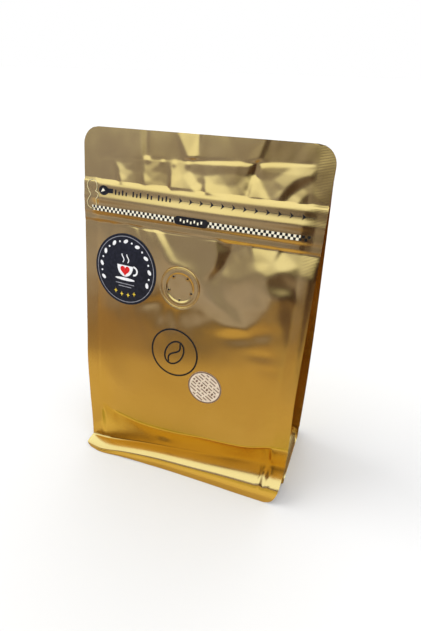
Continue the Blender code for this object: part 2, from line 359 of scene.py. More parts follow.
def plain_relief(across, up):
    """How far the front film stands off the plain slope, without the valve."""
    inner = smooth((ROOT - np.abs(across)) / 2.2)
    line = seal_line(across)
    # The panel swells a little between its seals
    out = 1.5 * unit(1 - (across / ROOT) ** 2) * smooth((line - up) / 40) * smooth(up / 60)
    out = out + (0.05 + 0.05 * smooth(across / 20)) * smooth((line - up) / 1.0) * inner
    in_band = smooth((up - BAND_LOW + 0.4) / 0.8) * smooth((BAND_TOP + 0.5 - up) / 0.8)
    out = out + creased(across, up) * (1 - in_band)
    out = out - 0.35 * inner * (1 - in_band) * smooth((up - 160) / 9) * unit((184 - up) / 12)
    out = out + in_band * 0.12 * ripple(across, up, 45, 5)
    # The band with its ridges, level to the very edge of the pouch
    profile = curve(BAND_PROFILE, up)
    proud = 0.45 + 0.55 * smooth((HALF - 4 - np.abs(across)) / 6)
    out = out + profile * proud
    # Slight unevenness
    lively = smooth((up - 60) / 60)
    out = out + (0.06 + 0.08 * lively) * ripple(across, up, 30, 1) * inner * (1 - 0.9 * in_band)
    out = out + 0.025 * lively * ripple(across, up, 9, 2) * (1 - 0.8 * in_band)
    # The foot of each side edge draws back
    foot = smooth((72 - up) / 45)
    out = out - foot * 3.6 * smooth((np.abs(across) - 42) / 23)
    return out


def valve_level():
    """The valve lies flat on the film at its lower side."""
    below = np.radians(np.arange(200, 350, 10))
    x = VALVE[0] + (VALVE[2] + 3) * np.cos(below)
    y = VALVE[1] + (VALVE[2] + 3) * np.sin(below)
    return float(plain_relief(x, y).mean()) + 0.5


VALVE_LEVEL = valve_level()


def relief(across, up):
    """How far the front film stands off the plain slope."""
    across = np.asarray(across, float)
    up = np.asarray(up, float)
    out = plain_relief(across, up)
    # The film is drawn up to the valve's rim, and lies a little lower inside it
    away = np.hypot(across - VALVE[0], up - VALVE[1]) - VALVE[2]
    near = np.exp(-np.clip(away, 0, None) / 3.4)
    out = out + (VALVE_LEVEL - 0.1 - out) * near
    return out - 1.4 * smooth(-(away + 0.1) / 0.9)


def on_slope(across, up, out):
    """Points of the front panel's frame, as rows of x, y, z."""
    y = FOOT + up * SIN - out * COS
    z = up * COS + out * SIN
    return np.stack([across, y, z], axis=-1)


# The crease above the base, the valley under it, and the lip of the bottom seal, read across the bag
CREASE = ((-65, 33.5), (-54, 32.3), (-41, 30.4), (-30, 28.6), (-6, 29.0), (14, 31.2), (39, 33.7), (57, 37.4),
          (65, 38.0))
VALLEY_BACK = ((-65, 5.5), (-50, 5.6), (-30, 7.2), (12, 11.4), (45, 15.0), (65, 16.5))
VALLEY_UP = ((-65, 2.8), (-50, 4.2), (-30, 7.2), (12, 11.0), (45, 14.4), (65, 15.6))
LIP_BACK = ((-65, -2.6), (-54, -4.4), (-40, -3.2), (-10, -1.2), (20, -0.4), (45, 0.0), (65, 0.6))
LIP_UP = 0.35

# The bottom seals: radius of their corners, how far each reaches out, and how steeply they fall, in degrees,
# along the way from the valley to the lip
FLANGE_CORNER = 7.5
FRONT_REACH = 11.0
REAR_REACH = 9.0
FLANGE_FALL = ((0.0, 3), (0.30, 28), (0.42, 46), (0.50, 72), (0.75, 82), (1.0, 89))


def flange(down, back, up, lip):
    """A bottom seal in section: it runs out nearly level from the valley, then curls down to the lip."""
    share = np.linspace(0, 1, 121)
    fall = np.radians(curve(FLANGE_FALL, share))
    out = np.concatenate([[0], np.cumsum(np.cos((fall[1:] + fall[:-1]) / 2))])
    drop = np.concatenate([[0], np.cumsum(np.sin((fall[1:] + fall[:-1]) / 2))])
    y = back - (back - lip) * np.interp(down, share, out / out[-1])
    z = up - (up - LIP_UP) * np.interp(down, share, drop / drop[-1])
    return y, z


def crumple(across, down):
    """Small kinks pressed into the right end of the bottom seal, and a slight wave along it."""
    wave = 0.35 * ripple(across, down * 12, 38, 6) * down
    kink = 0.0
    for place, depth in ((52.0, 0.8), (54.6, -0.7), (57.2, 0.5)):
        kink = kink + depth * np.exp(-((across - place - 1.5 * down) / 0.8) ** 2)
    return wave + kink * np.sin(math.pi * unit(down * 1.1))


def front_seal(across, lip, inset=0.0):
    """How far back and up the front bottom seal is, from the valley at 0 to the lip at 1."""
    edge = curve(LIP_BACK, across) + inset
    y, z = flange(lip, curve(VALLEY_BACK, across), curve(VALLEY_UP, across), edge)
    return y, np.maximum(z + crumple(across, lip), LIP_UP)


def front_foot(across, down):
    """The front film under the crease. Down runs from 0 at the crease, 1 in the valley, to 2 at the lip."""
    crease = curve(CREASE, across)
    start = on_slope(across, crease, relief(across, crease))
    back = curve(VALLEY_BACK, across)
    up = curve(VALLEY_UP, across)
    wall = unit(down)
    y = start[:, 1] + (FOOT + back - start[:, 1]) * wall ** 1.25
    z = start[:, 2] + (up - start[:, 2]) * wall
    inner = smooth((ROOT - np.abs(across)) / 2.5)
    sag = np.sin(math.pi * wall)
    y = y + sag * (1.0 + 0.18 * ripple(across, z, 30, 4)) * inner
    # The film folds sharply back under the crease, the more so towards the right
    y = y + 1.5 * smooth((across + 5) / 30) * (1 - np.exp(-wall * 14)) * (1 - wall) * inner
    y = y + 0.5 * np.exp(-((across + 11) / 4) ** 2 - ((wall - 0.5) / 0.16) ** 2)
    seal_y, seal_z = front_seal(across, unit(down - 1))
    y = np.where(down > 1, FOOT + seal_y, y)
    z = np.where(down > 1, seal_z, z)
    return np.stack([across, y, z], axis=-1)


def narrow(across, limit):
    """Squeeze the outer part of a row so that its end lies at the limit."""
    outer = 14.0
    start = HALF - outer
    over = np.clip(np.abs(across) - start, 0, None)
    return np.sign(across) * (np.minimum(np.abs(across), start) + over * (limit - start) / outer)


def corner_limit(distance, radius):
    """Half width of a row at a distance from the end of a rounded sheet."""
    into = np.clip(radius - distance, 0, radius)
    return HALF - (radius - np.sqrt(np.maximum(radius ** 2 - into ** 2, 0)))


def front_film(a, b):
    """Place the front panel. It has its lip at the bottom row and the top seal's edge at the last."""
    across = WIDTH * (a - 0.5)
    rows_below = 0.2
    down = unit(1 - b / rows_below) * 2
    share = unit((b - rows_below) / (1 - rows_below))
    share = 1.35 * share - 0.35 * share ** 2
    crease = curve(CREASE, across)
    up = crease + (TOP - crease) * share
    top_across = narrow(across, corner_limit(TOP - up, TOP_CORNER))
    reach = unit(2 - down) * FRONT_REACH
    foot_across = narrow(across, corner_limit(reach, FLANGE_CORNER))
    above = on_slope(top_across, up, relief(top_across, up))
    below = front_foot(foot_across, down)
    # The filled part pushes the side edges out a little
    wider = 0.9 * np.sign(across) * smooth((np.abs(across) - 50) / 15)
    below[:, 0] += wider * smooth(1 - down)
    above[:, 0] += wider * smooth((80 - up) / 45)
    return np.where((b > rows_below)[:, None], above, below)


# The rear panel: how far it stands behind the foot of the front one, at each height
REAR_CURVE = ((0, 57.0), (15, 60.0), (45, 61.5), (80, 59.0), (110, 54.0), (140, 47.5), (165, 41.8),
              (180, 38.75), (195, 41.85))
REAR_VALLEY = 9.0


def rear_relief(across, height):
    """How far the rear film swells past its curve: waves, streaks under the top seal, and a low crease."""
    inner = smooth((ROOT - np.abs(across)) / 2.5)
    swell = 2.6 * unit(1 - (across / ROOT) ** 2)
    swell = swell * np.sin(math.pi * unit(height / 178)) ** 0.8
    loose = smooth((height - 95) / 50)
    waves = 0.5 * ripple(across, height, 40, 11) + 0.35 * loose * ripple(across, height, 17, 12)
    drawn = 0.0
    for place, depth, width in ((-34, 0.8, 4), (-12, -0.9, 5), (9, 0.8, 3.5), (27, -0.7, 4), (43, 0.6, 3.5)):
        drawn = drawn + depth * np.exp(-np.abs(across - place - 0.12 * (height - 178)) / width)
    drawn = drawn * smooth((height - 128) / 40) * smooth((181 - height) / 6)
    crease = 0.7 * np.exp(-((height - 31 - 0.03 * across) / 1.6) ** 2)
    return inner * (swell + waves + drawn + crease) + 0.02 * ripple(across, height, 6, 13)


def rear_place(across, height):
    """The rear film above its bottom seal, pressed against the front film along the top seal."""
    y = FOOT + curve(REAR_CURVE, height) + rear_relief(across, height)
    plain = np.stack([across, y, height], axis=-1)
    up = height / COS
    sealed = on_slope(across, up, relief(across, up) - 0.45)
    share = smooth((up - seal_line(across) + 2.5) / 4.5)[:, None]
    plain[:, 1] = np.maximum(plain[:, 1], sealed[:, 1] + 0.25)
    return plain * (1 - share) + sealed * share


def rear_seal(across, lip, inset):
    """How far back and up the rear bottom seal is, from the valley at 0 to the lip at 1."""
    valley = np.full_like(across, REAR_VALLEY)
    start = rear_place(across, valley)[:, 1] - FOOT
    y, z = flange(lip, start, valley, pouch_high.y - FOOT - inset)
    return y, np.maximum(z + 0.3 * ripple(across, lip * 9, 30, 14) * lip, LIP_UP)


def rear_film(a, b):
    """Place the rear panel, from its lip at the bottom row to the top seal's edge at the last."""
    across = WIDTH * (0.5 - a)
    rows_below = 0.1
    lip = unit(1 - b / rows_below)
    share = unit((b - rows_below) / (1 - rows_below))
    height = REAR_VALLEY + (HEIGHT - REAR_VALLEY) * share
    narrowed = narrow(across, corner_limit(TOP - height / COS, TOP_CORNER))
    above = rear_place(narrowed, height)
    foot_across = narrow(across, corner_limit((1 - lip) * REAR_REACH, FLANGE_CORNER))
    y, z = rear_seal(foot_across, lip, 0.5)
    below = np.stack([foot_across, FOOT + y, z], axis=-1)
    return np.where((b > rows_below)[:, None], above, below)


def front_back_at(across, height):
    """The y of the front film and of the rear film at a height, for the gussets between them."""
    up = height / COS
    crease = curve(CREASE, across)
    above = on_slope(across, up, relief(across, up))[:, 1]
    turn = unit((crease * COS - height) / (crease * COS - curve(VALLEY_UP, across)))
    at_crease = on_slope(across, crease, relief(across, crease))[:, 1]
    below = at_crease + (FOOT + curve(VALLEY_BACK, across) - at_crease) * turn ** 1.25
    front = np.where(turn > 0, below, above)
    rear = rear_place(across, np.maximum(height, REAR_VALLEY))[:, 1]
    return front, rear


def gusset_film(side):
    """A side panel: sealed to the front film, folded in along its middle, sealed to the rear film."""
    seal_share = 0.13           # part of the panel's width in each seal
    apex = 30.0                 # height of the folded-in triangle at the foot
    sharp = 22.0                # how tight its folds are

    def place(a, b):
        if side < 0:
            a = 1 - a
        height = LIP_UP + (GUSSET_TOP * COS - LIP_UP) * b ** 1.15
        across_fold = unit((a - seal_share) / (1 - 2 * seal_share))
        in_seal = unit((seal_share - np.minimum(a, 1 - a)) / seal_share)
        x_seal = ROOT + (SEAL - 0.25) * in_seal
        front, rear = front_back_at(side * x_seal, height)
        front = front + FILM + 0.05
        gap = np.maximum(rear - FILM - 0.05 - front, 0.0)
        deep = np.sqrt(np.maximum(GUSSET_HALF ** 2 - (gap / 2) ** 2, 0))
        deep = np.maximum(deep, 4.0) * 0.96
        middle = 1 - np.abs(2 * across_fold - 1)
        middle = np.sqrt(middle ** 2 + 0.002) - 0.0447
        lower = -np.log(np.exp(-middle * sharp) + np.exp(-unit(height / apex) * sharp)) / sharp
        tuck = np.where(height < apex * 1.6, np.minimum(lower, middle), middle)
        x = x_seal - deep * unit(tuck)
        slack = (1 - in_seal) * middle
        puff = 1.1 * ripple(height, across_fold * 50, 26, 21 + side)
        puff = puff + 0.35 * ripple(height, across_fold * 50, 11, 23)
        x = x + puff * slack * smooth((176 - height) / 40) * smooth(height / 20)
        flare = unit(1 - height / 8.5)
        x = x + (HALF - 0.3 - x) * flare ** 1.2
        y = front + gap * across_fold
        y = y + 0.8 * slack * ripple(height, across_fold * 40, 30, 25 + side)
        # The lowest corner lies behind the front bottom seal
        low_front = FOOT + curve(VALLEY_BACK, side * x_seal) + 1.0
        drawn = (low_front - y) * unit(1 - across_fold * 4) * (1 - height / 5)
        y = np.where(height < 5, y + drawn, y)
        return np.stack([side * x, y, height], axis=-1)
    return place


def base_film(a, b):
    """The bottom panel: its own ply of each lip, and the flat base between them."""
    across = WIDTH * (a - 0.5)
    lip_rows = 0.16
    rear_lip = unit(1 - b / lip_rows)
    front_lip = unit((b - 1 + lip_rows) / lip_rows)
    limit = np.minimum(corner_limit((1 - front_lip) * FRONT_REACH, FLANGE_CORNER),
                       corner_limit((1 - rear_lip) * REAR_REACH, FLANGE_CORNER))
    across = narrow(across, limit - 0.15)
    under = FILM + 0.08
    front_y, front_z = front_seal(across, front_lip, 0.1)
    rear_y, rear_z = rear_seal(across, rear_lip, 0.6)
    # The base hangs from both valleys and lies flat between them
    middle = unit((b - lip_rows) / (1 - 2 * lip_rows))
    start = rear_place(across, np.full_like(across, REAR_VALLEY))[:, 1] - FOOT
    y = start + (curve(VALLEY_BACK, across) - start) * middle
    rise = np.exp(-np.minimum(middle, 1 - middle) * 26)
    edge_up = np.where(middle > 0.5, curve(VALLEY_UP, across), REAR_VALLEY)
    z = 0.2 + (edge_up - under - 0.2) * rise * smooth((HALF - np.abs(across)) / 3)
    y = np.where(front_lip > 0, front_y, np.where(rear_lip > 0, rear_y, y))
    z = np.where(front_lip > 0, front_z - under, np.where(rear_lip > 0, rear_z - under, z))
    return np.stack([across, FOOT + y, z], axis=-1)


# ---------------------------------------------------------------- making pieces

def flat_grid(columns, rows):
    bpy.ops.mesh.primitive_grid_add(x_subdivisions=columns, y_subdivisions=rows, size=1.0)
    return bpy.context.active_object


def put_points(obj, xyz):
    obj.data.vertices.foreach_set("co", (np.asarray(xyz) * MM).astype(np.float32).ravel())
    obj.data.update()


def points_of(obj):
    co = np.zeros(len(obj.data.vertices) * 3, np.float32)
    obj.data.vertices.foreach_get("co", co)
    return co.reshape(-1, 3).astype(float)


def apply_modifiers(obj):
    bpy.context.view_layer.objects.active = obj
    for modifier in list(obj.modifiers):
        bpy.ops.object.modifier_apply(modifier=modifier.name)


def thicken(obj, thickness):
    wall = obj.modifiers.new("wall", "SOLIDIFY")
    wall.thickness = thickness * MM
    wall.offset = -1.0
    apply_modifiers(obj)


def finish_piece(obj, name, mat, node=None):
    obj.name = name
    obj.data.name = name
    obj.data.materials.clear()
    obj.data.materials.append(mat)
    bpy.ops.object.select_all(action="DESELECT")
    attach(obj, "root")
    if node:
        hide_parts(node)
    return obj


def film_panel(name, place, columns, rows, mat):
    """A sheet of film: a flat grid, moved to its place, then given its thickness."""
    obj = flat_grid(columns, rows)
    flat = points_of(obj)
    put_points(obj, place(flat[:, 0] + 0.5, flat[:, 1] + 0.5))
    thicken(obj, FILM)
    obj.data.shade_smooth()
    obj.data.set_sharp_from_angle(angle=math.radians(60))
    return finish_piece(obj, name, mat, "pouch")


# ---------------------------------------------------------------- materials

RIB_PITCH = 0.62            # of the ribs in the side seals, and of the slanting ones, in millimetres
SLANT_PITCH = 0.80
FILM_TOOTH = 0.000004       # depth of the film's grain and ribs, in metres


class Nodes:
    """A short way to lay out a material's nodes."""

    def __init__(self, name):
        self.mat = bpy.data.materials.new(name)
        self.mat.use_nodes = True
        self.tree = self.mat.node_tree
        self.here = self.add("ShaderNodeTexCoord").outputs["Object"]

    def add(self, kind, **values):
        node = self.tree.nodes.new(kind)
        for key, value in values.items():
            if hasattr(node, key):
                setattr(node, key, value)
            else:
                self.put(node.inputs[key], value)
        return node

    def put(self, socket, value):
        if isinstance(value, bpy.types.NodeSocket):
            self.tree.links.new(value, socket)
        else:
            socket.default_value = value

    def surface(self, **values):
        """Set the shader's own sockets, each named with _ for a space."""
        shader = self.tree.nodes["Principled BSDF"]
        for key, value in values.items():
            self.put(shader.inputs[key.replace("_", " ")], value)
        return self.mat

    def split(self, vector):
        """The x, y and z of a vector."""
        return self.add("ShaderNodeSeparateXYZ", Vector=vector).outputs

    def math(self, operation, *values):
        node = self.tree.nodes.new("ShaderNodeMath")
        node.operation = operation
        for socket, value in zip(node.inputs, values):
            self.put(socket, value)
        return node.outputs[0]

    def ramp(self, factor, low, high):
        """0 below low and 1 above high, smooth between."""
        node = self.tree.nodes.new("ShaderNodeMapRange")
        node.interpolation_type = "SMOOTHSTEP"
        self.put(node.inputs["Value"], factor)
        self.put(node.inputs["From Min"], low)
        self.put(node.inputs["From Max"], high)
        return node.outputs["Result"]

    def mix(self, factor, first, second):
        node = self.tree.nodes.new("ShaderNodeMix")
        node.data_type = "RGBA"
        self.put(node.inputs["Factor"], factor)
        self.put(node.inputs["A"], first)
        self.put(node.inputs["B"], second)
        return node.outputs["Result"]

    def toward(self, direction, way, far, near):
        """1 within the near angle of a way, 0 past the far angle, in degrees."""
        dot = self.add("ShaderNodeVectorMath", operation="DOT_PRODUCT")
        self.put(dot.inputs[0], direction)
        dot.inputs[1].default_value = Vector(way).normalized()
        return self.ramp(dot.outputs["Value"], math.cos(math.radians(far)), math.cos(math.radians(near)))

    def noise(self, vector, scale, detail=3.0):
        return self.add("ShaderNodeTexNoise", Vector=vector, Scale=scale, Detail=detail).outputs["Fac"]

    def bump(self, height, distance, **normal):
        return self.add("ShaderNodeBump", Height=height, Distance=distance, **normal).outputs["Normal"]


def gold_film():
    """Metallised film under a satin gold lacquer, with ribs pressed into its side seals."""
    n = Nodes("gold_film")
    x, _, z = n.split(n.here)
    cloud = n.noise(n.here, 24.0, 3.0)
    grain = n.noise(n.here, 900.0, 2.0)
    rough = n.math("MULTIPLY_ADD", grain, 0.03, 0.17)
    # Fine ribs across each side seal, with slanting ones over them lower down
    in_seal = n.ramp(n.math("ABSOLUTE", x), (ROOT + 0.2) * MM, (ROOT + 0.8) * MM)
    ribs = n.math("SINE", n.math("MULTIPLY", z, 2 * math.pi / (RIB_PITCH * MM)))
    slant = n.math("SINE", n.math("MULTIPLY", n.math("ADD", z, x), 2 * math.pi / (SLANT_PITCH * MM)))
    lower = n.ramp(z, 0.125, 0.105)
    hatch = n.math("MULTIPLY", in_seal, n.math("ADD", ribs, n.math("MULTIPLY", slant, lower)))
    return n.surface(
        Base_Color=n.mix(n.ramp(cloud, 0.35, 0.65), (0.500, 0.268, 0.040, 1), (0.530, 0.290, 0.047, 1)),
        Metallic=1.0,
        Roughness=n.math("MULTIPLY_ADD", cloud, 0.06, rough),
        Coat_Weight=0.06,
        Coat_Roughness=0.35,
        Specular_Tint=(1.0, 0.80, 0.42, 1),
        Normal=n.bump(hatch, FILM_TOOTH, Normal=n.bump(grain, FILM_TOOTH)))


def printed(name, first, second, roughness, spread=600.0):
    """Ink or label stock: two close tones in fine mottling, with a faint tooth."""
    n = Nodes(name)
    mottle = n.noise(n.here, spread, 4.0)
    return n.surface(
        Base_Color=n.mix(n.ramp(mottle, 0.35, 0.65), (*first, 1), (*second, 1)),
        Roughness=n.math("MULTIPLY_ADD", mottle, 0.12, roughness),
        Specular_IOR_Level=0.12,
        Specular_Tint=(1.0, 0.77, 0.26, 1),
        Normal=n.bump(n.noise(n.here, 2500.0, 2.0), 0.00001))


BLACK_INK = printed("black_ink", (0.006, 0.006, 0.007), (0.014, 0.013, 0.013), 0.38)
PALE_INK = printed("pale_ink", (0.80, 0.74, 0.55), (0.90, 0.85, 0.68), 0.42)
# Pale gold line along the tear tab's cut: a painted highlight on the cut edge
CUT_EDGE_HIGHLIGHT = printed("cut_edge_highlight", (0.58, 0.48, 0.24), (0.68, 0.57, 0.30), 0.42)
GOLD = gold_film()


# ---------------------------------------------------------------- the pouch

film_panel("front_film", front_film, 176, 268, GOLD)
film_panel("rear_film", rear_film, 96, 150, GOLD)
film_panel("right_gusset_film", gusset_film(1), 56, 120, GOLD)
film_panel("left_gusset_film", gusset_film(-1), 56, 120, GOLD)
film_panel("base_film", base_film, 80, 70, GOLD)


# ---------------------------------------------------------------- flat shapes for labels and print

def edit(obj):
    bpy.ops.object.select_all(action="DESELECT")
    obj.select_set(True)
    bpy.context.view_layer.objects.active = obj
    bpy.ops.object.mode_set(mode="EDIT")


def leave_edit():
    bpy.ops.object.mode_set(mode="OBJECT")


def place_flat(obj, x, y, width, height, turn=0.0):
    """Size, turn and move a flat unit shape, in millimetres on the unrolled panel."""
    co = points_of(obj)
    c, s = turned(turn)
    wide, tall = co[:, 0] * width, co[:, 1] * height
    flat = np.stack([x + wide * c - tall * s, y + wide * s + tall * c, co[:, 2]], axis=-1)
    obj.data.vertices.foreach_set("co", flat.astype(np.float32).ravel())
    obj.data.update()
    return obj


def plate(x, y, width, height, cuts=(1, 1), turn=0.0):
    return place_flat(flat_grid(*cuts), x, y, width, height, turn)


def oval(x, y, width, height, turn=0.0, sides=24):
    bpy.ops.mesh.primitive_circle_add(vertices=sides, radius=0.5, fill_type="TRIFAN")
    return place_flat(bpy.context.active_object, x, y, width, height, turn)


def hoop(x, y, diameter, width, sides=96):
    """A thin ring: a filled circle, inset, with its middle taken out."""
    bpy.ops.mesh.primitive_circle_add(vertices=sides, radius=0.5, fill_type="NGON")
    obj = bpy.context.active_object
    edit(obj)
    bpy.ops.mesh.select_all(action="SELECT")
    bpy.ops.mesh.inset(thickness=width / diameter)
    bpy.ops.mesh.delete(type="FACE")
    leave_edit()
    return place_flat(obj, x, y, diameter, diameter)


def shape(points, x, y, size=1.0):
    """A filled outline, drawn as a circle whose points are then moved one by one."""
    bpy.ops.mesh.primitive_circle_add(vertices=len(points), radius=0.5, fill_type="NGON")
    obj = bpy.context.active_object
    flat = [(px, py, 0.0) for px, py in points]
    obj.data.vertices.foreach_set("co", np.array(flat, np.float32).ravel())
    edit(obj)
    bpy.ops.mesh.select_all(action="SELECT")
    bpy.ops.mesh.normals_make_consistent(inside=False)
    bpy.ops.mesh.quads_convert_to_tris(ngon_method="CLIP")
    leave_edit()
    obj.data.update()
    if obj.data.polygons[0].normal.z < 0:
        obj.data.flip_normals()
    return place_flat(obj, x, y, size, size)


def line(points, width):
    """A ribbon of even width along a path."""
    points = np.array(points, float)
    way = np.gradient(points, axis=0)
    way = way / np.linalg.norm(way, axis=1)[:, None]
    beside = np.stack([-way[:, 1], way[:, 0]], axis=-1) * width / 2
    obj = flat_grid(len(points) - 1, 1)
    co = points_of(obj)
    k = np.rint((co[:, 0] + 0.5) * (len(points) - 1)).astype(int)
    flat = points[k] + beside[k] * np.sign(co[:, 1])[:, None]
    flat = np.concatenate([flat, np.zeros((len(flat), 1))], axis=1)
    obj.data.vertices.foreach_set("co", flat.astype(np.float32).ravel())
    obj.data.update()
    return obj


def joined(parts):
    """One object made of all the parts."""
    bpy.ops.object.select_all(action="DESELECT")
    for part in parts:
        part.select_set(True)
    bpy.context.view_layer.objects.active = parts[0]
    if len(parts) > 1:
        bpy.ops.object.join()
    return parts[0]


def print_piece(name, parts, mat, surface, lift, thickness=0.03):
    """Lay flat shapes on a surface of the bag, as ink or foil of a small thickness."""
    obj = joined(parts)
    flat = points_of(obj)
    put_points(obj, on_slope(flat[:, 0], flat[:, 1], surface(flat[:, 0], flat[:, 1]) + lift))
    thicken(obj, thickness)
    return finish_piece(obj, name, mat)


def film_print(name, parts, ink, lift):
    print_piece(name, parts, ink, relief, lift)


def round_sheet(name, centre, place, rings, steps, mat, node, thickness):
    """A round sheet, shaped from its middle to its rim; place gives how far out it stands."""
    obj = flat_grid(steps, rings)
    flat = points_of(obj)
    angle = -2 * math.pi * (flat[:, 0] + 0.5)
    radius = centre[2] * (flat[:, 1] + 0.5)
    across = centre[0] + radius * np.cos(angle)
    up = centre[1] + radius * np.sin(angle)
    put_points(obj, on_slope(across, up, place(across, up)))
    edit(obj)
    bpy.ops.mesh.select_all(action="SELECT")
    bpy.ops.mesh.remove_doubles(threshold=0.01 * MM)
    leave_edit()
    thicken(obj, thickness)
    obj.data.shade_smooth()
    obj.data.set_sharp_from_angle(angle=math.radians(50))
    return finish_piece(obj, name, mat, node)


def label_out(across, up):
    """Label stock bridges the fine creases of the film under it."""
    total = 0.0
    reach = ((0, 0), (2.4, 0), (-2.4, 0), (0, 2.4), (0, -2.4))
    for dx, dy in reach:
        total = total + relief(across + dx, up + dy)
    return np.maximum(total / len(reach), relief(across, up)) + 0.2


def around(centre, radius, degrees):
    """A point on a circle."""
    c, s = turned(degrees)
    return centre[0] + radius * c, centre[1] + radius * s


# ---------------------------------------------------------------- the valve

# The valve in section, from its middle to its rim: share of the radius, and how proud it is
VALVE_STEPS = (
    (0.0, -0.52), (0.25, -0.50), (0.45, -0.46), (0.60, -0.38), (0.66, -0.30), (0.70, -0.12), (0.735, 0.03),
    (0.765, 0.07), (0.80, 0.03), (0.84, 0.0), (0.92, 0.0), (0.935, -0.06), (0.95, -0.08), (0.97, 0.08),
    (0.985, 0.11), (1.0, 0.03), (1.02, -0.35),
)
PINHOLES = [around(VALVE, 0.61 * VALVE[2], -18 + 72 * k) for k in range(5)]


def valve_out(across, up):
    """How far the valve stands out: a tilted dish inside two raised rings."""
    share = np.hypot(across - VALVE[0], up - VALVE[1]) / VALVE[2]
    dish = smooth((0.72 - share) / 0.12)
    tilt = 0.012 * (up - VALVE[1]) - 0.012 * (across - VALVE[0])
    out = VALVE_LEVEL + curve(VALVE_STEPS, share) + dish * (tilt + 0.06 * ripple(across, up, 9, 31))
    # A small crater round each pinhole
    for x, y in PINHOLES:
        away = np.hypot(across - x, up - y)
        out = out + 0.16 * np.exp(-((away - 0.62) / 0.28) ** 2)
    return out


def make_valve():
    rim = (VALVE[0], VALVE[1], VALVE[2] * 1.02)
    round_sheet("valve_disc", rim, valve_out, 56, 128, GOLD, "valve", 0.3)
    # Each pinhole is a black disc laid on the valve: painted shade standing in for the dark inside of the
    # hole
    hole_shades = [oval(x, y, 1.0, 1.0, sides=20) for x, y in PINHOLES]
    print_piece("valve_pinhole_shade", hole_shades, BLACK_INK, valve_out, 0.12)


make_valve()


# ---------------------------------------------------------------- print on the opening band

BAND_LINE = 166.4           # the tear line runs at this height
CHECK = 1.3                 # side of one check
CHECK_ROW = 156.9           # middle of the two rows of checks
ARROWS = 12
ARROW_START = -6.8
ARROW_PITCH = 5.6


def band_print():
    black = []
    arrow = ((1.1, 0.0), (-0.85, 1.4), (-0.25, 0.0), (-0.85, -1.4))
    for k in range(ARROWS):
        black.append(shape(arrow, ARROW_START + ARROW_PITCH * k, BAND_LINE))
    # The place of the wording holds plain strokes in four groups
    x = -44.6
    for strokes in (4, 3, 2, 4):
        for k in range(strokes):
            tall = 2.7 if k % 2 == 0 else 1.9
            black.append(plate(x, BAND_LINE + (tall - 2.7) / 2, 0.75, tall))
            x += 2.15
        x += 2.1
    # A round pull mark with a pale notch
    black.append(oval(-52.0, BAND_LINE + 0.2, 6.0, 5.0))
    black.append(plate(-48.4, BAND_LINE + 0.3, 4.2, 2.3))
    end = ARROW_START + ARROW_PITCH * (ARROWS - 1)
    thin = [plate((ARROW_START + end) / 2 + 2, BAND_LINE + 0.05, end - ARROW_START + 6, 0.16, cuts=(90, 1))]
    film_print("band_arrows", black, BLACK_INK, 0.09)
    film_print("band_line", thin, BLACK_INK, 0.07)
    notch = [shape(((-1.5, -0.9), (1.0, 0.0), (-0.3, 1.2)), -52.2, BAND_LINE + 0.1)]
    film_print("pull_mark_notch", notch, PALE_INK, 0.13)


def checks():
    """Two rows of checks: black squares on a pale strip, with a plain black tablet in the middle."""
    columns = 92
    length = CHECK * columns
    middle = -0.6
    strip = [plate(middle - 2.0, CHECK_ROW, length - 5, 2 * CHECK, cuts=(columns * 2, 2))]
    film_print("zip_strip", strip, PALE_INK, 0.08)
    squares = plate(middle, CHECK_ROW, length, 2 * CHECK, cuts=(columns, 2))
    for face in squares.data.polygons:
        column = round((face.center.x - middle + length / 2) / CHECK - 0.5)
        row = round((face.center.y - CHECK_ROW) / CHECK - 0.5)
        face.select = (column + row) % 2 == 0
    edit(squares)
    bpy.ops.mesh.delete(type="FACE")
    leave_edit()
    film_print("zip_checks", [squares], BLACK_INK, 0.13)
    tablet = [plate(-0.1, CHECK_ROW, 14.5, 4.3, cuts=(20, 4))]
    for side in (-1, 1):
        tablet.append(oval(-0.1 + side * 7.2, CHECK_ROW, 4.3, 4.3))
    film_print("zip_tablet", tablet, BLACK_INK, 0.17)
    teeth = [plate(-0.1 + 1.9 * k, CHECK_ROW + (0.35 if k % 2 else -0.35), 0.8, 1.3) for k in range(-3, 4)]
    film_print("zip_tablet_teeth", teeth, PALE_INK, 0.21)


def tear_tab():
    """The outline of the tear tab, cut through the film in a keyhole shape at the left end, drawn as a pale
    line with a black line beside it: painted highlight and painted shade of the cut edge.
    """
    loop = [around((-59.6, 168.2), 3.3, angle) for angle in range(-52, 226, 12)]
    left = [(-61.9, 165.3), (-61.0, 164.2), (-60.9, 163.2), (-62.0, 161.6), (-63.2, 159.6), (-62.6, 157.4),
            (-60.8, 156.3), (-58.6, 156.4)]
    right = [(-57.2, 156.8), (-56.9, 159.0), (-57.0, 161.6), (-55.6, 163.0), (-55.2, 164.6), (-56.4, 165.3),
             (-57.4, 165.7)]
    path = loop + left + right
    # The pale line is a painted highlight on the cut edge, and the black line beside it is painted shade in
    # the cut
    film_print("tear_tab_edge_highlight", [line(path, 0.42)], CUT_EDGE_HIGHLIGHT, 0.1)
    inner = [(x + 0.22, y - 0.2) for x, y in path]
    film_print("tear_tab_cut_shade", [line(inner, 0.2)], BLACK_INK, 0.07)


band_print()
checks()
tear_tab()


# ---------------------------------------------------------------- the emblem on the front

EMBLEM = (-4.8, 83.5)
EMBLEM_SIZE = 29.0
EMBLEM_LINE = 0.95


def emblem():
    """A thin ring round a coffee bean, in black line."""
    c, s = turned(-28)
    round_bean = np.linspace(0, 2 * math.pi, 49)
    outline = np.stack([5.2 * np.cos(round_bean), 7.6 * np.sin(round_bean)], axis=-1)
    tall = np.linspace(-7.0, 7.0, 21)
    groove = np.stack([1.7 * np.sin(math.pi * tall / 7.0), tall], axis=-1)
    parts = [hoop(*EMBLEM, EMBLEM_SIZE, EMBLEM_LINE)]
    for path in (outline, groove):
        parts.append(line(path @ np.array([[c, s], [-s, c]]) + EMBLEM, EMBLEM_LINE))
    film_print("emblem", parts, BLACK_INK, 0.09)


emblem()


# ---------------------------------------------------------------- the dark round label

